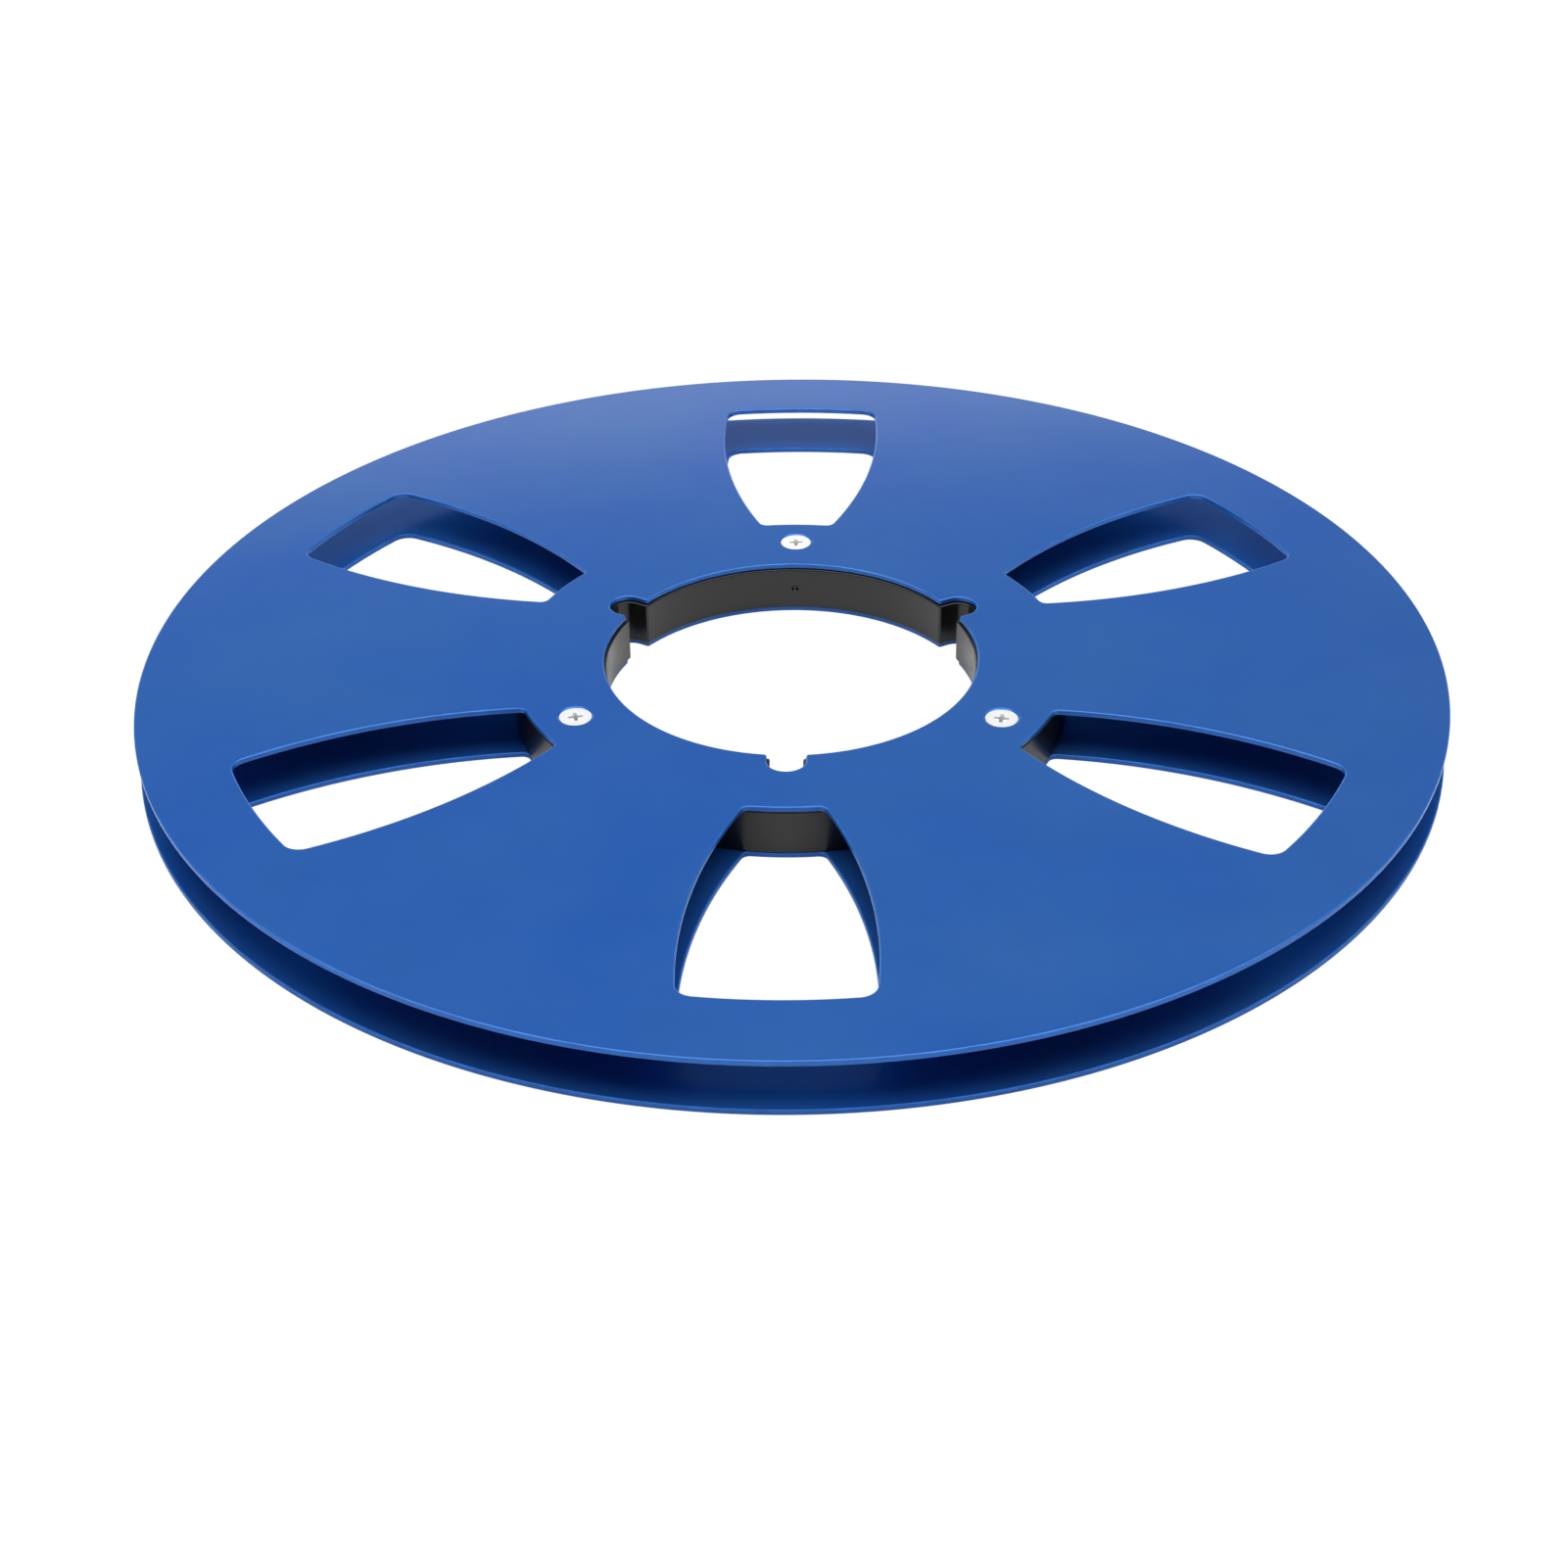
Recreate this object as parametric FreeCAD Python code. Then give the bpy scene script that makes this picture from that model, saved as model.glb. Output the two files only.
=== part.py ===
"""Empty open-reel tape reel, 10.5 inch size, with the large three-slot centre hole.

Two identical sheet-aluminium flanges are screwed to a ring-shaped hub. Each flange has six
windows and a notched centre hole, and three countersunk screws hold it to the hub.

Frame: millimetres, +Z up along the reel's axis, origin at the centre of the bottom face.
One drive slot lies on -Y, and one screw of each flange lies on +Y.
"""
import FreeCAD, Part
import math
import os

INCH = 25.4

# Flanges
FLANGE_RADIUS = 10.5 * INCH / 2
FLANGE_THICKNESS = 1.2
FLANGE_BORE_RADIUS = 38.55
EDGE_ROUNDING = 0.35
REEL_HEIGHT = 11.7

# Hub
HUB_RADIUS = 4.5 * INCH / 2
HUB_BORE_RADIUS = 3.0 * INCH / 2
HUB_HEIGHT = REEL_HEIGHT - 2 * FLANGE_THICKNESS
HUB_EDGE_CHAMFER = 0.3
GATE_MARK_RADIUS = 0.8
GATE_MARK_DEPTH = 0.5

# Windows in the flanges: bowed sides, and an inner edge in line with the hub's outer wall
WINDOW_COUNT = 6
WINDOW_FIRST_ANGLE = 30.0
WINDOW_INNER_RADIUS = HUB_RADIUS
WINDOW_OUTER_RADIUS = 116.4
WINDOW_SIDE_RADIUS = 115.0
WINDOW_HALF_WIDTH = 17.9
WINDOW_WIDEST_AT = 104.0
WINDOW_INNER_CORNER = 1.8
WINDOW_OUTER_CORNER = 3.6

# Drive slots: U-shaped, open into the bore; the flange notches are cut a little larger
SLOT_COUNT = 3
SLOT_FIRST_ANGLE = -90.0
SLOT_HALF_WIDTH = 3.25
SLOT_END_RADIUS = 43.8
SLOT_MOUTH_ROUNDING = 0.6
NOTCH_MARGIN = 0.6

# Screws: countersunk, cross recess, 3.5 mm thread
SCREW_COUNT = 3
SCREW_FIRST_ANGLE = 90.0
SCREW_CIRCLE_RADIUS = 49.0
SCREW_THREAD_RADIUS = 1.75
SCREW_HEAD_RADIUS = 3.3
SCREW_HEAD_LAND = 0.2
SCREW_SUNK = 0.2
SCREW_LENGTH = 5.0
SCREW_TIP_CHAMFER = 0.4
RECESS_SPAN = 3.0
RECESS_FLOOR_SPAN = 1.0
RECESS_WING_WIDTH = 0.7
RECESS_FLOOR_WING_WIDTH = 0.4
RECESS_DEPTH = 1.6
RECESS_TURNS = {"top": (3.0, 12.0, 80.0), "bottom": (70.0, 18.0, 41.0)}

# A countersink has the head's 45 degree cone, so its mouth is this much wider than the head
COUNTERSINK_RADIUS = SCREW_HEAD_RADIUS + SCREW_SUNK + SCREW_HEAD_LAND

UP = FreeCAD.Vector(0, 0, 1)
OVERSHOOT = 1.0
NEAR = 1e-4


def turned(shape, angle):
    """A copy of the shape turned about the reel's axis."""
    copy = shape.copy()
    copy.rotate(FreeCAD.Vector(0, 0, 0), UP, angle)
    return copy


def moved(shape, x=0.0, y=0.0, z=0.0):
    """A copy of the shape moved by the given distances."""
    copy = shape.copy()
    copy.translate(FreeCAD.Vector(x, y, z))
    return copy


def pattern(shape, count, first_angle):
    """Evenly spaced copies of a shape that is drawn on +X."""
    return [turned(shape, first_angle + i * 360.0 / count) for i in range(count)]


def upright_edges(shape):
    """The straight edges that run along Z."""
    found = []
    for edge in shape.Edges:
        low, high = edge.Vertexes[0].Point, edge.Vertexes[-1].Point
        if math.hypot(high.x - low.x, high.y - low.y) < NEAR and abs(high.z - low.z) > NEAR:
            found.append(edge)
    return found


def corner_radius(edge):
    """How far an upright edge stands from the reel's axis."""
    point = edge.Vertexes[0].Point
    return math.hypot(point.x, point.y)


def flat_edges(shape, heights):
    """The edges that lie in one of the given horizontal planes."""
    found = []
    for edge in shape.Edges:
        box = edge.BoundBox
        if box.ZLength < NEAR and any(abs(box.ZMin - z) < NEAR for z in heights):
            found.append(edge)
    return found


def window_cutter(height):
    """One window as a solid on +X: a ring between two bowed sides, with rounded corners."""
    side_centre = WINDOW_SIDE_RADIUS - WINDOW_HALF_WIDTH
    cutter = Part.makeCylinder(WINDOW_OUTER_RADIUS, height)
    cutter = cutter.cut(Part.makeCylinder(WINDOW_INNER_RADIUS, height))
    for side in (-1, 1):
        bow = Part.makeCylinder(WINDOW_SIDE_RADIUS, height)
        cutter = cutter.common(moved(bow, WINDOW_WIDEST_AT, side * side_centre))
    cutter = cutter.Solids[0]
    middle = (WINDOW_INNER_RADIUS + WINDOW_OUTER_RADIUS) / 2
    for outer, rounding in ((False, WINDOW_INNER_CORNER), (True, WINDOW_OUTER_CORNER)):
        corners = [e for e in upright_edges(cutter) if (corner_radius(e) > middle) == outer]
        cutter = cutter.makeFillet(rounding, corners)
    return cutter


def slot_cutter(half_width, end_radius, height):
    """One U-shaped slot as a solid on +X, running from the axis to a round end."""
    centre = end_radius - half_width
    block = Part.makeBox(centre, 2 * half_width, height, FreeCAD.Vector(0, -half_width, 0))
    return block.fuse(moved(Part.makeCylinder(half_width, height), centre))


def bored_and_slotted(shape, bore_radius, slot_margin, height):
    """Cuts the centre hole and its slots, and rounds the corners where they meet."""
    cutter = Part.makeCylinder(bore_radius, height + 2 * OVERSHOOT)
    slot = slot_cutter(SLOT_HALF_WIDTH + slot_margin, SLOT_END_RADIUS + slot_margin,
                       height + 2 * OVERSHOOT)
    for copy in pattern(slot, SLOT_COUNT, SLOT_FIRST_ANGLE):
        cutter = cutter.fuse(copy)
    result = shape.cut(moved(cutter.removeSplitter(), z=-OVERSHOOT))
    mouths = [e for e in upright_edges(result) if abs(corner_radius(e) - bore_radius) < NEAR]
    return result.makeFillet(SLOT_MOUTH_ROUNDING, mouths)


def screw_sites():
    """The screws' centres, as (x, y)."""
    sites = []
    for i in range(SCREW_COUNT):
        angle = math.radians(SCREW_FIRST_ANGLE + i * 360.0 / SCREW_COUNT)
        sites.append((SCREW_CIRCLE_RADIUS * math.cos(angle), SCREW_CIRCLE_RADIUS * math.sin(angle)))
    return sites


def countersink_cutter():
    """A screw's seat as a solid that hangs below z = 0, the flange's outer face."""
    depth = COUNTERSINK_RADIUS - SCREW_THREAD_RADIUS
    cone = Part.makeCone(SCREW_THREAD_RADIUS, COUNTERSINK_RADIUS, depth)
    return moved(cone, z=-depth)


def flange():
    """One flange with its inner face on z = 0 and its countersunk outer face above."""
    plate = Part.makeCylinder(FLANGE_RADIUS, FLANGE_THICKNESS)
    window = moved(window_cutter(FLANGE_THICKNESS + 2 * OVERSHOOT), z=-OVERSHOOT)
    for cutter in pattern(window, WINDOW_COUNT, WINDOW_FIRST_ANGLE):
        plate = plate.cut(cutter)
    plate = bored_and_slotted(plate, FLANGE_BORE_RADIUS, NOTCH_MARGIN, FLANGE_THICKNESS)
    plate = plate.makeFillet(EDGE_ROUNDING, flat_edges(plate, (0.0, FLANGE_THICKNESS)))
    for x, y in screw_sites():
        plate = plate.cut(moved(countersink_cutter(), x, y, FLANGE_THICKNESS))
    return plate.Solids[0]


def turned_over(shape):
    """A copy turned over about the Y axis, so that what faced up faces down."""
    copy = shape.copy()
    copy.rotate(FreeCAD.Vector(0, 0, 0), FreeCAD.Vector(0, 1, 0), 180)
    return copy


def gate_mark():
    """The small round moulding mark in the bore's wall on +Y, half way up the hub."""
    start = FreeCAD.Vector(0, HUB_BORE_RADIUS - OVERSHOOT, HUB_HEIGHT / 2)
    return Part.makeCylinder(GATE_MARK_RADIUS, OVERSHOOT + GATE_MARK_DEPTH, start,
                             FreeCAD.Vector(0, 1, 0))


def hub():
    """The hub ring with its bottom face on z = 0: bore, drive slots and screw holes."""
    ring = Part.makeCylinder(HUB_RADIUS, HUB_HEIGHT)
    ring = bored_and_slotted(ring, HUB_BORE_RADIUS, 0.0, HUB_HEIGHT)
    ring = ring.makeChamfer(HUB_EDGE_CHAMFER, flat_edges(ring, (0.0, HUB_HEIGHT)))
    hole = moved(Part.makeCylinder(SCREW_THREAD_RADIUS, HUB_HEIGHT + 2 * OVERSHOOT), z=-OVERSHOOT)
    seat = moved(countersink_cutter(), z=FLANGE_THICKNESS)
    for x, y in screw_sites():
        ring = ring.cut(moved(hole, x, y))
        ring = ring.cut(moved(seat, x, y, HUB_HEIGHT))
        ring = ring.cut(moved(turned_over(seat), x, y))
    return ring.cut(gate_mark()).Solids[0]


def rectangle(length, width, z):
    """A closed rectangular wire centred on the Z axis."""
    corners = ((1, 1), (-1, 1), (-1, -1), (1, -1), (1, 1))
    return Part.makePolygon([FreeCAD.Vector(a * length / 2, b * width / 2, z) for a, b in corners])


def cross_recess():
    """The cross-shaped driver recess as a solid that hangs below z = 0."""
    wings = []
    for angle in (0, 90):
        mouth = rectangle(RECESS_SPAN, RECESS_WING_WIDTH, 0)
        floor = rectangle(RECESS_FLOOR_SPAN, RECESS_FLOOR_WING_WIDTH, -RECESS_DEPTH)
        wings.append(turned(Part.makeLoft([floor, mouth], True, True), angle))
    core = Part.makeCone(RECESS_FLOOR_WING_WIDTH, RECESS_WING_WIDTH, RECESS_DEPTH)
    return wings[0].fuse(wings[1]).fuse(moved(core, z=-RECESS_DEPTH))


def screw(recess_turn):
    """A countersunk screw with its head's top on z = 0 and its thread below."""
    cone_height = SCREW_HEAD_RADIUS - SCREW_THREAD_RADIUS
    profile = [
        (0.0, 0.0),
        (SCREW_HEAD_RADIUS, 0.0),
        (SCREW_HEAD_RADIUS, -SCREW_HEAD_LAND),
        (SCREW_THREAD_RADIUS, -SCREW_HEAD_LAND - cone_height),
        (SCREW_THREAD_RADIUS, -SCREW_LENGTH + SCREW_TIP_CHAMFER),
        (SCREW_THREAD_RADIUS - SCREW_TIP_CHAMFER, -SCREW_LENGTH),
        (0.0, -SCREW_LENGTH),
        (0.0, 0.0),
    ]
    outline = Part.makePolygon([FreeCAD.Vector(x, 0, z) for x, z in profile])
    body = Part.Face(outline).revolve(FreeCAD.Vector(0, 0, 0), UP, 360)
    return body.cut(turned(cross_recess(), recess_turn)).Solids[0]


def build():
    """Every piece in its place, by name."""
    parts = {}
    parts["bottom_flange"] = moved(turned_over(flange()), z=FLANGE_THICKNESS)
    parts["hub"] = moved(hub(), z=FLANGE_THICKNESS)
    parts["top_flange"] = moved(flange(), z=REEL_HEIGHT - FLANGE_THICKNESS)
    for i, (x, y) in enumerate(screw_sites()):
        upper = screw(RECESS_TURNS["top"][i])
        lower = turned_over(screw(RECESS_TURNS["bottom"][i]))
        parts[f"top_screw_{i + 1}"] = moved(upper, x, y, REEL_HEIGHT - SCREW_SUNK)
        parts[f"bottom_screw_{i + 1}"] = moved(lower, x, y, SCREW_SUNK)
    return parts


os.makedirs("parts", exist_ok=True)
for name, shape in build().items():
    shape.exportStep(f"parts/{name}.step")
    box = shape.BoundBox
    print(name, shape.isValid(), len(shape.Solids), round(shape.Volume, 1),
          [round(v, 3) for v in (box.XMin, box.YMin, box.ZMin, box.XMax, box.YMax, box.ZMax)])
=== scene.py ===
"""An empty 10.5 inch open reel for magnetic tape, in a white studio.

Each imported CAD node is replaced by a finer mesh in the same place: two blue anodised flanges, a
black hub and six plated screws. Lengths are metres, +Z is up along the reel's axis, and the
reel's lowest face lies on z = 0.
"""

import cmath
import math

import bpy
from mathutils import Matrix, Vector
from mathutils.geometry import delaunay_2d_cdt


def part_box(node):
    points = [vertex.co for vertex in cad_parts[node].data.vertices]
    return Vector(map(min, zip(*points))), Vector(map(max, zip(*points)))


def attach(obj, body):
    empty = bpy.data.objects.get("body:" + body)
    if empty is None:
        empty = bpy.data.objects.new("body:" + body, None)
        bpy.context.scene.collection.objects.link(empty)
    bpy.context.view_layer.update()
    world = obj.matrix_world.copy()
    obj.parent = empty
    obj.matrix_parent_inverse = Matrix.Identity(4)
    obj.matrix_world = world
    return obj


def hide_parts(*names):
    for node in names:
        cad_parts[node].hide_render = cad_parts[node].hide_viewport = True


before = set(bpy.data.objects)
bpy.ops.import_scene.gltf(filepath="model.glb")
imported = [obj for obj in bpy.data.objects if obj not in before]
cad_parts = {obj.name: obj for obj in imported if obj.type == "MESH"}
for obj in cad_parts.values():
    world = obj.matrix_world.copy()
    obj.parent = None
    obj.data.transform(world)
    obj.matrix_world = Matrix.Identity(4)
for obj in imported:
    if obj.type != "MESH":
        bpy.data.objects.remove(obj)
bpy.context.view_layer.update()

MM = 0.001
QUARTER = math.pi / 2

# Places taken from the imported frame
FLANGE_LOW, FLANGE_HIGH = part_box("top_flange")
HUB_LOW, HUB_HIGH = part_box("hub")
SCREW_LOW, SCREW_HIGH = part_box("top_screw_1")
REEL_HEIGHT = FLANGE_HIGH.z
RIM_RADIUS = FLANGE_HIGH.x
SHEET = FLANGE_HIGH.z - FLANGE_LOW.z
HUB_RADIUS = HUB_HIGH.x
HUB_HEIGHT = HUB_HIGH.z - HUB_LOW.z
SCREW_LENGTH = SCREW_HIGH.z - SCREW_LOW.z
SCREW_HEAD_RADIUS = (SCREW_HIGH.x - SCREW_LOW.x) / 2

# Flanges
FLANGE_BORE_RADIUS = 38.55 * MM
FLANGE_ROUNDING = 0.35 * MM
WINDOW_COUNT = 6
WINDOW_FIRST_ANGLE = math.radians(30)
WINDOW_INNER_RADIUS = HUB_RADIUS
WINDOW_OUTER_RADIUS = 116.4 * MM
WINDOW_SIDE_RADIUS = 115.0 * MM
WINDOW_HALF_WIDTH = 17.9 * MM
WINDOW_WIDEST_AT = 104.0 * MM
WINDOW_INNER_CORNER = 1.8 * MM
WINDOW_OUTER_CORNER = 3.6 * MM

# Hub
HUB_BORE_RADIUS = 38.1 * MM
HUB_ROUNDING = 0.3 * MM
GATE_MARK_RADIUS = 0.8 * MM
GATE_MARK_DEPTH = 0.5 * MM
GATE_MARK_ZONE = 1.2 * MM
GATE_MARK_STEP = 0.1 * MM

# Drive slots, which the flanges repeat a little larger
SLOT_COUNT = 3
SLOT_FIRST_ANGLE = -QUARTER
SLOT_HALF_WIDTH = 3.25 * MM
SLOT_END_RADIUS = 43.8 * MM
SLOT_MOUTH_ROUNDING = 0.6 * MM
NOTCH_MARGIN = 0.6 * MM

# Screws
THREAD_RADIUS = 1.75 * MM
HEAD_LAND = 0.2 * MM
HEAD_SUNK = REEL_HEIGHT - SCREW_HIGH.z
TIP_CHAMFER = 0.4 * MM
COUNTERSINK_RADIUS = SCREW_HEAD_RADIUS + HEAD_SUNK + HEAD_LAND
BREAK = 0.05 * MM
RECESS_SPAN = 3.0 * MM
RECESS_FLOOR_SPAN = 1.0 * MM
RECESS_WING = 0.7 * MM
RECESS_FLOOR_WING = 0.4 * MM
RECESS_DEPTH = 1.6 * MM

# How far each screw's recess is turned, in degrees
RECESS_TURNS = {"top": (3, 12, 80), "bottom": (70, 18, 41)}

# Stage, whose floor and room both start just below the reel
STAGE_HALF = 4.0
FLOOR_LEVEL = -0.2 * MM
FLOOR_ALBEDO = 0.85
FLOOR_GLOW = 0.12
ROOM_LEVEL = -0.4 * MM
ROOM_TOP = 2 * STAGE_HALF
WORLD_STRENGTH = 0.06

# How finely curves are drawn
ARC_SAG = 0.004 * MM
WIDEST_TURN = math.radians(9)
ROUNDING_STEPS = 5
FACE_MARGIN = 0.15 * MM
SAME_PLACE = 1e-7

# The edge value of a plain wall, where a rounded edge's rises to about 0.57
WALL_EDGE = 0.1


# ---------------------------------------------------------------- camera

# The photographer's view: the camera's distance and direction from the reel's bottom centre, and
# how far its axis is turned away from that line
CAMERA_DISTANCE = 0.580
CAMERA_AZIMUTH = math.radians(1.611)
CAMERA_ELEVATION = math.radians(31.503)
CAMERA_ROLL = math.radians(-0.639)
CAMERA_PAN = math.radians(-0.152)
CAMERA_TILT = math.radians(-1.685)
CAMERA_LENS = 63.776
CAMERA_SENSOR = 36.0


def make_camera():
    """The scene's camera, at the photograph's viewing angle."""
    camera = bpy.data.objects.new("camera", bpy.data.cameras.new("camera"))
    camera.data.lens = CAMERA_LENS
    camera.data.sensor_width = CAMERA_SENSOR
    camera.data.clip_start = 0.01
    camera.data.clip_end = 50.0
    swing = Matrix.Rotation(CAMERA_AZIMUTH, 4, "Z") @ Matrix.Rotation(QUARTER - CAMERA_ELEVATION, 4, "X")
    aim = Matrix.Rotation(CAMERA_ROLL, 4, "Z") @ Matrix.Rotation(-CAMERA_PAN, 4, "Y")
    aim = aim @ Matrix.Rotation(CAMERA_TILT, 4, "X")
    camera.matrix_world = swing @ Matrix.Translation((0, 0, CAMERA_DISTANCE)) @ aim
    bpy.context.scene.collection.objects.link(camera)
    bpy.context.scene.camera = camera


# ---------------------------------------------------------------- outlines

# An outline is a list of (point, normal) pairs, both complex numbers in the XY plane. The normal
# points off the material, which lies on the right of the way along the outline.


def arc(centre, radius, start, end, step=None):
    """Samples an arc. One that turns left has free space on its centre's side."""
    turn = min(2 * math.sqrt(2 * ARC_SAG / radius), WIDEST_TURN)
    if step:
        turn = step / radius
    count = math.ceil(abs(end - start) / turn)
    side = -1 if end > start else 1
    directions = [cmath.rect(1, start + (end - start) * i / count) for i in range(count + 1)]
    return [(centre + radius * way, side * way) for way in directions]


def circle(radius, hole, centre=0):
    """A full circle, around a hole or around material."""
    end = 2 * math.pi if hole else -2 * math.pi
    return closed(arc(centre, radius, 0, end))


def closed(samples):
    """The samples without those that repeat the one before."""
    before = samples[-1:] + samples[:-1]
    return [s for s, last in zip(samples, before) if abs(s[0] - last[0]) > SAME_PLACE]


def turned(outline, angle):
    """The outline turned about the origin."""
    way = cmath.rect(1, angle)
    return [(point * way, normal * way) for point, normal in outline]


def mirrored(outline):
    """The outline mirrored in the X axis, and still with its material on the right."""
    return [(point.conjugate(), normal.conjugate()) for point, normal in reversed(outline)]


def crossing(centre_a, radius_a, centre_b, radius_b):
    """Where two circles cross, on the side with the larger Y."""
    apart = centre_b - centre_a
    along = (radius_a**2 - radius_b**2 + abs(apart)**2) / (2 * abs(apart))
    aside = math.sqrt(radius_a**2 - along**2)
    found = [centre_a + apart / abs(apart) * complex(along, s * aside) for s in (1, -1)]
    return max(found, key=lambda point: point.imag)


def window_outline():
    """One window on +X: an outer and an inner edge about the reel's axis, and bowed sides."""
    bow = complex(WINDOW_WIDEST_AT, WINDOW_HALF_WIDTH - WINDOW_SIDE_RADIUS)
    outer = crossing(0, WINDOW_OUTER_RADIUS - WINDOW_OUTER_CORNER,
                     bow, WINDOW_SIDE_RADIUS - WINDOW_OUTER_CORNER)
    inner = crossing(0, WINDOW_INNER_RADIUS + WINDOW_INNER_CORNER,
                     bow, WINDOW_SIDE_RADIUS - WINDOW_INNER_CORNER)
    outer_way, inner_way = cmath.phase(outer), cmath.phase(inner)
    bow_start, bow_end = cmath.phase(outer - bow), cmath.phase(inner - bow)
    side = arc(outer, WINDOW_OUTER_CORNER, outer_way, bow_start)
    side += arc(bow, WINDOW_SIDE_RADIUS, bow_start, bow_end)
    side += arc(inner, WINDOW_INNER_CORNER, bow_end, inner_way + math.pi)
    outer_edge = arc(0, WINDOW_OUTER_RADIUS, -outer_way, outer_way)
    inner_edge = arc(0, WINDOW_INNER_RADIUS, inner_way, -inner_way)
    return closed(outer_edge + side + inner_edge + mirrored(side))


def bore_outline(bore_radius, slot_margin, marked=False):
    """The centre hole with its three slots. A marked one has finer points about +Y."""
    half_width = SLOT_HALF_WIDTH + slot_margin
    end_centre = SLOT_END_RADIUS - SLOT_HALF_WIDTH
    rounding = SLOT_MOUTH_ROUNDING
    mouth_height = half_width + rounding
    mouth = complex(math.sqrt((bore_radius + rounding)**2 - mouth_height**2), mouth_height)
    way = cmath.phase(mouth)
    mouth_side = arc(mouth, rounding, -QUARTER, way - math.pi)
    slot = mirrored(mouth_side)
    slot += arc(end_centre, half_width, -QUARTER, QUARTER)
    slot += mouth_side
    spacing = 2 * math.pi / SLOT_COUNT
    zone = GATE_MARK_ZONE / bore_radius
    samples = []
    for i in range(SLOT_COUNT):
        turn = SLOT_FIRST_ANGLE + i * spacing
        samples += turned(slot, turn)
        start, end = turn + way, turn + spacing - way
        if marked and start < QUARTER < end:
            samples += arc(0, bore_radius, start, QUARTER - zone)
            samples += arc(0, bore_radius, QUARTER - zone, QUARTER + zone, GATE_MARK_STEP)
            samples += arc(0, bore_radius, QUARTER + zone, end)
        else:
            samples += arc(0, bore_radius, start, end)
    return closed(samples)


def screw_sites():
    """The screws' centres, as complex numbers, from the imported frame."""
    sites = []
    for i in range(len(RECESS_TURNS["top"])):
        low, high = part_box(f"top_screw_{i + 1}")
        sites.append(complex(low.x + high.x, low.y + high.y) / 2)
    return sites


# ---------------------------------------------------------------- meshes


class Shell:
    """A mesh in the making: points, the normals they are shaded by, two values that materials use, and
    faces. Edge is highest on a rounded edge, WALL_EDGE on a wall and 0 on a face; materials paint pale
    wear and a highlight with it. Exposed is 1 on an outer face, 0 on a wall or in a recess, and -1 on an
    inner face; materials paint shade with it."""

    def __init__(self):
        self.points = []
        self.normals = []
        self.edge = []
        self.exposed = []
        self.faces = []

    def ring(self, outline, inset, height, tilt):
        """Adds the outline, drawn back into the material by inset. Tilt is the normal's angle
        above the horizontal."""
        first = len(self.points)
        for point, normal in outline:
            place = point - inset * normal
            level = normal * math.cos(tilt)
            self.points.append((place.real, place.imag, height))
            self.normals.append((level.real, level.imag, math.sin(tilt)))
            # Edge peaks half way round a rounding, where the painted highlight is strongest; exposed
            # sets painted shade
            self.edge.append(math.cos(tilt) * (WALL_EDGE + abs(math.sin(tilt))))
            self.exposed.append(math.sin(tilt))
        return list(range(first, len(self.points)))

    def wall(self, outline, rows):
        """Adds a wall along the outline, from its highest row down, and returns its end rings."""
        rings = [self.ring(outline, *row) for row in rows]
        for upper, lower in zip(rings, rings[1:]):
            self.strip(upper, lower)
        return rings[0], rings[-1]

    def strip(self, upper, lower):
        """Joins two rings with quads."""
        for i in range(len(upper)):
            self.faces.append((upper[i - 1], upper[i], lower[i], lower[i - 1]))

    def runs_left(self, ring):
        """Whether a ring runs anticlockwise, seen from above."""
        places = [Vector(self.points[index][:2]) for index in ring]
        return sum(a.cross(b) for a, b in zip(places, places[1:] + places[:1])) > 0

    def cap(self, rings, facing_up):
        """Closes the flat face that lies inside the first ring and outside the others."""
        indices = []
        borders = []
        for ring in rings:
            border = list(range(len(indices), len(indices) + len(ring)))
            borders.append(border if self.runs_left(ring) else border[::-1])
            indices += ring
        places = [Vector(self.points[index][:2]) for index in indices]
        result = delaunay_2d_cdt(places, [], borders, 1, SAME_PLACE, True)
        for triangle, around in zip(result[2], result[5]):
            if len(around) == 1:
                face = [indices[i] for i in triangle]
                self.faces.append(tuple(face if facing_up else reversed(face)))

    def moved(self, x=0.0, y=0.0, z=0.0):
        """Moves every point."""
        self.points = [(a + x, b + y, c + z) for a, b, c in self.points]
        return self

    def turned_over(self):
        """Turns the shell over about the Y axis."""
        self.points = [(-a, b, -c) for a, b, c in self.points]
        self.normals = [(-a, b, -c) for a, b, c in self.normals]
        return self


def rounded_edge(top, bottom, radius, levels=()):
    """A wall's rows, as (inset, height, tilt), with both of its edges rounded. Levels are the
    heights of extra rows between them."""
    rows = [(radius + FACE_MARGIN, top, QUARTER)]
    tilts = [QUARTER * (1 - i / ROUNDING_STEPS) for i in range(ROUNDING_STEPS + 1)]
    for tilt in tilts:
        rows.append((radius * (1 - math.cos(tilt)), top - radius * (1 - math.sin(tilt)), tilt))
    rows += [(0.0, level, 0.0) for level in sorted(levels, reverse=True)]
    for tilt in reversed(tilts):
        rows.append((radius * (1 - math.cos(tilt)), bottom + radius * (1 - math.sin(tilt)), -tilt))
    rows.append((radius + FACE_MARGIN, bottom, -QUARTER))
    return rows


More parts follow.
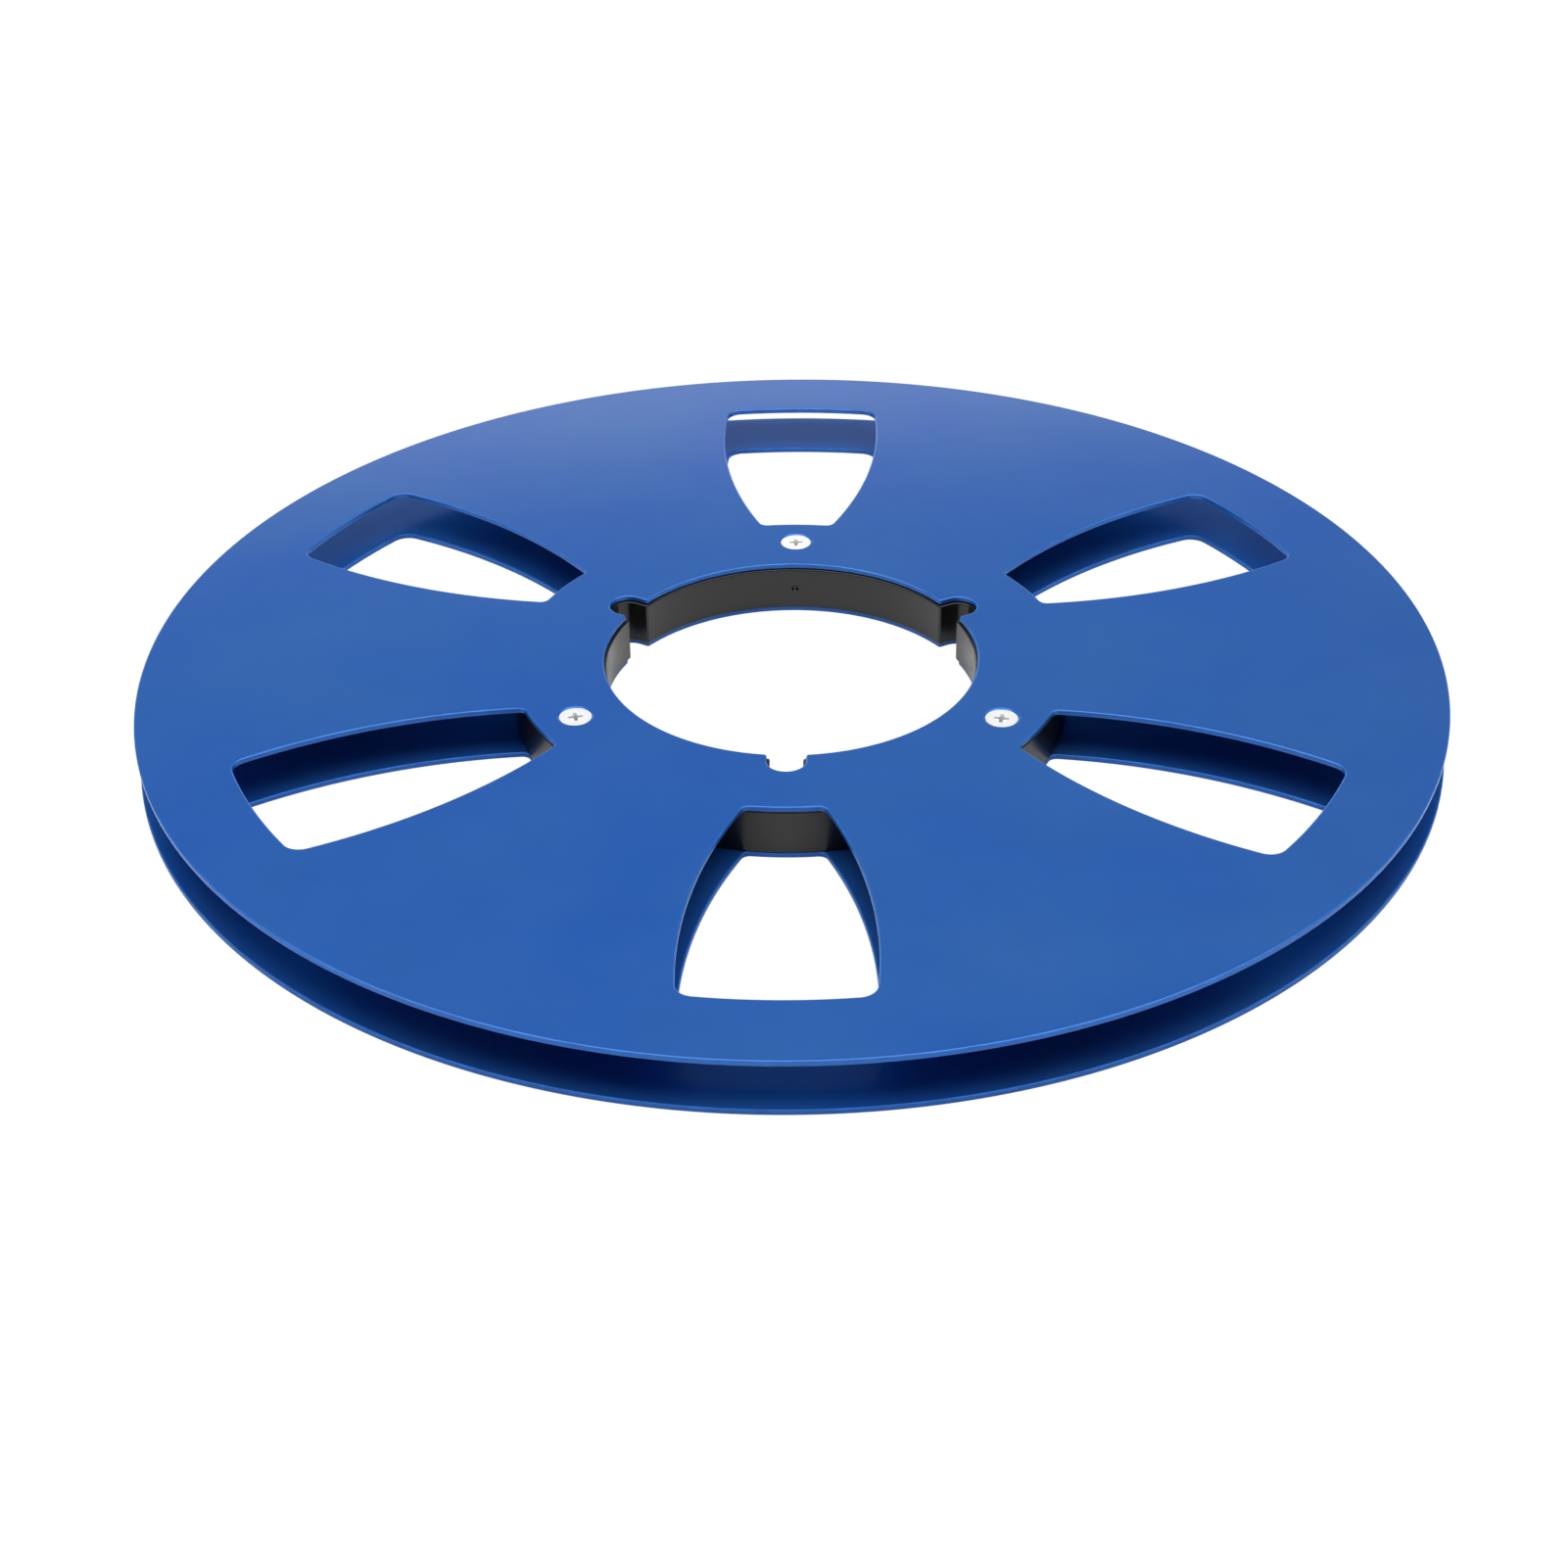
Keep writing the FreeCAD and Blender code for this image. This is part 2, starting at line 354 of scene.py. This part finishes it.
def flange_shell():
    """A flange with its inner face on z = 0 and its countersunk outer face above."""
    shell = Shell()
    edge = rounded_edge(SHEET, 0.0, FLANGE_ROUNDING)
    window = window_outline()
    outlines = [circle(RIM_RADIUS, hole=False), bore_outline(FLANGE_BORE_RADIUS, NOTCH_MARGIN)]
    for i in range(WINDOW_COUNT):
        outlines.append(turned(window, WINDOW_FIRST_ANGLE + i * 2 * math.pi / WINDOW_COUNT))
    ends = [shell.wall(outline, edge) for outline in outlines]
    seat = [
        (FACE_MARGIN, SHEET, QUARTER),
        (BREAK, SHEET, QUARTER),
        (-BREAK, SHEET - BREAK, QUARTER / 2),
        (-SHEET, 0.0, QUARTER / 2),
        (-SHEET + BREAK, 0.0, -QUARTER),
    ]
    for site in screw_sites():
        ends.append(shell.wall(circle(COUNTERSINK_RADIUS, hole=True, centre=site), seat))
    shell.cap([upper for upper, lower in ends], facing_up=True)
    shell.cap([lower for upper, lower in ends], facing_up=False)
    return shell


def hub_shell():
    """The hub ring with its lower face on z = 0."""
    shell = Shell()
    middle = HUB_HEIGHT / 2
    count = round(GATE_MARK_ZONE / GATE_MARK_STEP)
    levels = [middle + i * GATE_MARK_STEP for i in range(-count, count + 1)]
    edge = rounded_edge(HUB_HEIGHT, 0.0, HUB_ROUNDING)
    marked_edge = rounded_edge(HUB_HEIGHT, 0.0, HUB_ROUNDING, levels)
    ends = [shell.wall(circle(HUB_RADIUS, hole=False), edge)]
    ends.append(shell.wall(bore_outline(HUB_BORE_RADIUS, 0.0, marked=True), marked_edge))
    seat_radius = COUNTERSINK_RADIUS - SHEET
    seat_depth = seat_radius - THREAD_RADIUS
    hole = [
        (FACE_MARGIN, HUB_HEIGHT, QUARTER),
        (BREAK, HUB_HEIGHT, QUARTER),
        (-BREAK, HUB_HEIGHT - BREAK, QUARTER / 2),
        (-seat_depth, HUB_HEIGHT - seat_depth, QUARTER / 2),
        (-seat_depth, HUB_HEIGHT - seat_depth - BREAK, 0.0),
        (-seat_depth, seat_depth + BREAK, 0.0),
        (-seat_depth, seat_depth, -QUARTER / 2),
        (-BREAK, BREAK, -QUARTER / 2),
        (BREAK, 0.0, -QUARTER),
        (FACE_MARGIN, 0.0, -QUARTER),
    ]
    for site in screw_sites():
        ends.append(shell.wall(circle(seat_radius, hole=True, centre=site), hole))
    shell.cap([upper for upper, lower in ends], facing_up=True)
    shell.cap([lower for upper, lower in ends], facing_up=False)
    press_gate_mark(shell, middle)
    return shell


def press_gate_mark(shell, middle):
    """Presses the round moulding mark into the bore's wall on +Y."""
    for i, (x, y, z) in enumerate(shell.points):
        away = math.hypot(x, z - middle)
        if 0 < y < HUB_BORE_RADIUS + BREAK and away < GATE_MARK_RADIUS:
            share = away / GATE_MARK_RADIUS
            depth = GATE_MARK_DEPTH * (1 - share**4)**2
            slope = -8 * GATE_MARK_DEPTH * (1 - share**4) * share**3 / GATE_MARK_RADIUS
            lean = slope / max(away, SAME_PLACE)
            shell.points[i] = (x, y + depth, z)
            shell.normals[i] = tuple(Vector((lean * x, -1, lean * (z - middle))).normalized())


def recess_outline(span, wing):
    """The cross recess at one depth: four wings about a round core."""
    half = wing / 2
    tip = span / 2
    corner = half / 4
    core_start = math.asin(half / wing)
    quarter = [complex(tip, corner - half), complex(tip, half - corner)]
    quarter += [complex(tip - corner, half)]
    quarter += [point for point, normal in arc(0, wing, core_start, QUARTER - core_start)]
    quarter += [complex(half, tip - corner)]
    points = [point * 1j**k for k in range(4) for point in quarter]
    return [(point, 0j) for point in points]


def screw_shell(recess_turn):
    """A countersunk screw with its head's top on z = 0 and its thread below."""
    shell = Shell()
    neck = HEAD_LAND + SCREW_HEAD_RADIUS - THREAD_RADIUS
    body = [
        (FACE_MARGIN, 0.0, QUARTER),
        (BREAK, 0.0, QUARTER),
        (0.0, -BREAK, 0.0),
        (0.0, -HEAD_LAND, 0.0),
        (SCREW_HEAD_RADIUS - THREAD_RADIUS, -neck, 0.0),
        (SCREW_HEAD_RADIUS - THREAD_RADIUS, TIP_CHAMFER - SCREW_LENGTH, 0.0),
        (SCREW_HEAD_RADIUS - THREAD_RADIUS + TIP_CHAMFER, -SCREW_LENGTH, -QUARTER),
    ]
    head, tip = shell.wall(circle(SCREW_HEAD_RADIUS, hole=False), body)
    shell.cap([tip], facing_up=False)
    rings = []
    # Screws aren't shaded by these normals, so the tilts only say how exposed each ring is, which sets
    # the painted shade in the recess
    for depth, span, wing, tilt in (
        (0.0, RECESS_SPAN + 2 * BREAK, RECESS_WING + 2 * BREAK, QUARTER),
        (BREAK, RECESS_SPAN, RECESS_WING, QUARTER / 2),
        (RECESS_DEPTH, RECESS_FLOOR_SPAN, RECESS_FLOOR_WING, 0.0),
    ):
        outline = turned(recess_outline(span, wing), recess_turn)
        rings.append(shell.ring(outline, 0.0, -depth, tilt))
    shell.strip(rings[0], rings[1])
    shell.strip(rings[1], rings[2])
    shell.cap([head, rings[0]], facing_up=True)
    shell.cap([rings[2]], facing_up=True)
    return shell


# ---------------------------------------------------------------- materials


class Shader:
    """A material's node tree, with short calls for the few nodes used here."""

    def __init__(self, name):
        self.material = bpy.data.materials.new(name)
        self.material.use_nodes = True
        self.tree = self.material.node_tree
        self.surface = self.tree.nodes["Principled BSDF"]
        self.place = self.tree.nodes.new("ShaderNodeTexCoord").outputs["Object"]

    def node(self, kind, **inputs):
        """Adds a node. An input is a number, a colour or another node's output."""
        made = self.tree.nodes.new(kind)
        for name, value in inputs.items():
            self.put(made.inputs[name.replace("_", " ")], value)
        return made

    def put(self, socket, value):
        """Links an output to a socket, or sets the socket to a value."""
        if isinstance(value, bpy.types.NodeSocket):
            self.tree.links.new(value, socket)
        else:
            socket.default_value = value

    def look(self, **inputs):
        """Sets the surface's own sockets."""
        for name, value in inputs.items():
            self.put(self.surface.inputs[name.replace("_", " ")], value)

    def noise(self, size, detail=2.0, stretch=(1, 1, 1)):
        """A noise from 0 to 1 whose blotches are about size metres across."""
        mapping = self.node("ShaderNodeMapping", Vector=self.place, Scale=stretch)
        made = self.node("ShaderNodeTexNoise", Vector=mapping.outputs["Vector"], Scale=1 / size,
                         Detail=detail)
        return made.outputs["Fac"]

    def between(self, value, low, high, start=0.3, end=0.7):
        """Maps value from the range start to end on to the range low to high."""
        made = self.node("ShaderNodeMapRange", Value=value, From_Min=start, From_Max=end,
                         To_Min=low, To_Max=high)
        return made.outputs["Result"]

    def maths(self, operation, a, b):
        """What an operation, given by its name, makes of two values."""
        made = self.tree.nodes.new("ShaderNodeMath")
        made.operation = operation
        self.put(made.inputs[0], a)
        self.put(made.inputs[1], b)
        return made.outputs["Value"]

    def blend(self, share, first, second):
        """The first colour where share is 0, and the second where it is 1."""
        made = self.tree.nodes.new("ShaderNodeMix")
        made.data_type = "RGBA"
        sockets = {socket.identifier: socket for socket in made.inputs}
        self.put(sockets["Factor_Float"], share)
        self.put(sockets["A_Color"], first)
        self.put(sockets["B_Color"], second)
        return next(socket for socket in made.outputs if socket.identifier == "Result_Color")

    def bump(self, height, depth, under=None):
        """Bumps of the given depth in metres, where height runs from 0 to 1."""
        made = self.node("ShaderNodeBump", Height=height, Distance=depth, Strength=1.0)
        if under:
            self.put(made.inputs["Normal"], under)
        return made.outputs["Normal"]

    def stored(self, name):
        """A value that the mesh stores at each point."""
        made = self.tree.nodes.new("ShaderNodeAttribute")
        made.attribute_name = name
        return made.outputs["Fac"]


def blue_anodised():
    """Satin anodised aluminium: blue dye under a clear coat, with fine etched grain, faint clouds, and
    paler edges that are partly wear and partly a painted highlight along the rounded edges. The clear
    coat is thinner on an inner face, which paints shade on the reflections between the flanges."""
    shader = Shader("blue_anodised")
    clouds = shader.between(shader.noise(40 * MM, 5.0), 0.0, 1.0)
    colour = shader.blend(clouds, (0.016, 0.104, 0.43, 1), (0.027, 0.123, 0.415, 1))
    # Paler edges: partly wear, partly a painted highlight where the edge value peaks on the roundings
    patches = shader.between(shader.noise(4 * MM), 0.67, 1.35)
    rubbed_and_highlit = shader.maths("MULTIPLY", shader.stored("edge"), patches)
    shader.look(Base_Color=shader.blend(rubbed_and_highlit, colour, (0.045, 0.27, 0.9, 1)))
    shader.look(Metallic=0.5, Roughness=shader.between(shader.noise(12 * MM, 4.0), 0.42, 0.51))
    # Painted shade: a thinner coat on inner faces dims their reflections between the flanges
    coat_with_painted_shade = shader.between(shader.stored("exposed"), 0.4, 0.9, start=-0.9, end=-0.3)
    shader.look(Specular_IOR_Level=0.0, Specular_Tint=(0.2, 0.6, 1.0, 1))
    shader.look(Coat_Weight=coat_with_painted_shade, Coat_Roughness=0.15, Coat_IOR=1.35)
    grain = shader.bump(shader.noise(0.3 * MM, 3.0), 0.004 * MM)
    shader.look(Normal=grain)
    return shader.material


def black_plastic():
    """Satin black: a faint mould texture, and fine lines around the walls."""
    shader = Shader("black_plastic")
    clouds = shader.noise(8 * MM, 3.0)
    colour = shader.blend(clouds, (0.004, 0.0038, 0.0035, 1), (0.008, 0.0075, 0.007, 1))
    shader.look(Base_Color=colour, Roughness=shader.between(shader.noise(3 * MM, 3.0), 0.20, 0.26))
    lines = shader.bump(shader.noise(1.5 * MM, 2.0, stretch=(0.1, 0.1, 8)), 0.002 * MM)
    shader.look(Normal=shader.bump(shader.noise(0.4 * MM, 2.0), 0.003 * MM, under=lines))
    return shader.material


def plated_steel():
    """Bright zinc plating with a soft grain, and painted shade that greys the recess, the head's side
    and the shank.
    """
    shader = Shader("plated_steel")
    clouds = shader.noise(1.2 * MM, 3.0)
    colour = shader.blend(clouds, (0.93, 0.94, 0.95, 1), (0.98, 0.98, 0.98, 1))
    # Painted shade: grey wherever the surface is not an open face, deepest on the recess floor
    out_of_painted_shade = shader.between(shader.stored("exposed"), 0.0, 1.0, start=0.0, end=1.0)
    shader.look(Base_Color=shader.blend(out_of_painted_shade, (0.42, 0.42, 0.43, 1), colour), Metallic=0.4)
    shader.look(Roughness=shader.between(shader.noise(0.6 * MM, 3.0), 0.28, 0.38))
    shader.look(Normal=shader.bump(shader.noise(0.25 * MM, 2.0), 0.003 * MM))
    return shader.material


# ---------------------------------------------------------------- pieces


def piece(name, shell, material, node, smooth_below=None):
    """Makes the shell a piece of the reel in place of its CAD node. It is shaded by its own
    normals, or smoothly across edges below an angle."""
    mesh = bpy.data.meshes.new(name)
    mesh.from_pydata(shell.points, [], shell.faces)
    mesh.shade_smooth()
    if smooth_below:
        mesh.set_sharp_from_angle(angle=smooth_below)
    else:
        mesh.normals_split_custom_set_from_vertices(shell.normals)
    for title, values in (("edge", shell.edge), ("exposed", shell.exposed)):
        mesh.attributes.new(title, "FLOAT", "POINT").data.foreach_set("value", values)
    mesh.materials.append(material)
    made = bpy.data.objects.new(name, mesh)
    bpy.context.scene.collection.objects.link(made)
    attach(made, "root")
    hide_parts(node)


def make_reel():
    """Both flanges, the hub and the screws."""
    blue = blue_anodised()
    upper = flange_shell().moved(z=REEL_HEIGHT - SHEET)
    lower = flange_shell().turned_over().moved(z=SHEET)
    piece("top_flange_sheet", upper, blue, "top_flange")
    piece("bottom_flange_sheet", lower, blue, "bottom_flange")
    piece("hub_ring", hub_shell().moved(z=HUB_LOW.z), black_plastic(), "hub")
    steel = plated_steel()
    smooth = math.radians(30)
    for i, site in enumerate(screw_sites()):
        upper = screw_shell(math.radians(RECESS_TURNS["top"][i]))
        lower = screw_shell(math.radians(RECESS_TURNS["bottom"][i])).turned_over()
        upper.moved(site.real, site.imag, REEL_HEIGHT - HEAD_SUNK)
        lower.moved(site.real, site.imag, HEAD_SUNK)
        for side, shell in (("top", upper), ("bottom", lower)):
            node = f"{side}_screw_{i + 1}"
            piece(node + "_plated", shell, steel, node, smooth)


# ---------------------------------------------------------------- stage and light


def stage_piece(name, corners, faces, albedo, glow):
    """A matt surface that belongs to the stage, and glows by itself as strongly as glow says."""
    mesh = bpy.data.meshes.new(name)
    mesh.from_pydata(corners, [], faces)
    shader = Shader(name)
    shader.look(Base_Color=(albedo, albedo, albedo, 1), Roughness=0.9)
    shader.look(Emission_Color=(1, 1, 1, 1), Emission_Strength=glow)
    mesh.materials.append(shader.material)
    made = bpy.data.objects.new(name, mesh)
    bpy.context.scene.collection.objects.link(made)
    return made


def stage_square(level):
    """The corners of the stage at one level."""
    return [(a * STAGE_HALF, b * STAGE_HALF, level) for a, b in ((-1, -1), (1, -1), (1, 1), (-1, 1))]


def make_stage():
    """A white floor that sends the lights back up at the reel, and around and just below it the
    shadowless white room that only the camera sees."""
    bottom = (0, 1, 2, 3)
    floor = stage_piece("floor", stage_square(FLOOR_LEVEL), [bottom], FLOOR_ALBEDO, FLOOR_GLOW)
    floor.visible_camera = False
    top = (4, 5, 6, 7)
    sides = [(i, (i + 1) % 4, (i + 1) % 4 + 4, i + 4) for i in range(4)]
    corners = stage_square(ROOM_LEVEL) + stage_square(ROOM_TOP)
    room = stage_piece("white_room", corners, [bottom, *sides, top], albedo=0.0, glow=1.0)
    room.visible_diffuse = False
    room.visible_glossy = False
    room.visible_shadow = False


def softbox(name, place, width, height, power, target=(0, 0, 0)):
    """A soft rectangular light that points from place to target."""
    light = bpy.data.lights.new(name, "AREA")
    light.shape = "RECTANGLE"
    light.size = width
    light.size_y = height
    light.energy = power
    made = bpy.data.objects.new(name, light)
    made.location = place
    made.rotation_euler = (Vector(target) - Vector(place)).to_track_quat("-Z", "Y").to_euler()
    bpy.context.scene.collection.objects.link(made)
    made.visible_camera = False


def make_light():
    """Six softboxes in a dim room: the strongest above, two behind that the faces reflect towards
    the camera, and weak ones in front and at both sides."""
    world = bpy.data.worlds.new("room")
    world.use_nodes = True
    background = world.node_tree.nodes["Background"]
    background.inputs["Color"].default_value = (1, 1, 1, 1)
    background.inputs["Strength"].default_value = WORLD_STRENGTH
    bpy.context.scene.world = world
    softbox("overhead", (0, -0.05, 1.1), width=2.0, height=1.2, power=21.3, target=(0, -0.05, 0))
    softbox("backdrop", (0, 1.7, 0.95), width=2.6, height=1.3, power=2.4)
    softbox("low", (-0.25, 1.45, 0.36), width=1.6, height=0.6, power=4.6)
    softbox("front", (0, -1.7, 0.2), width=3.0, height=0.35, power=1, target=(0, 0, 0.01))
    softbox("left", (-1.5, -0.2, 0.4), width=1.6, height=0.5, power=2)
    softbox("right", (1.5, -0.2, 0.4), width=1.6, height=0.5, power=2)
    bpy.context.scene.view_settings.view_transform = "Standard"


make_camera()
make_reel()
make_stage()
make_light()
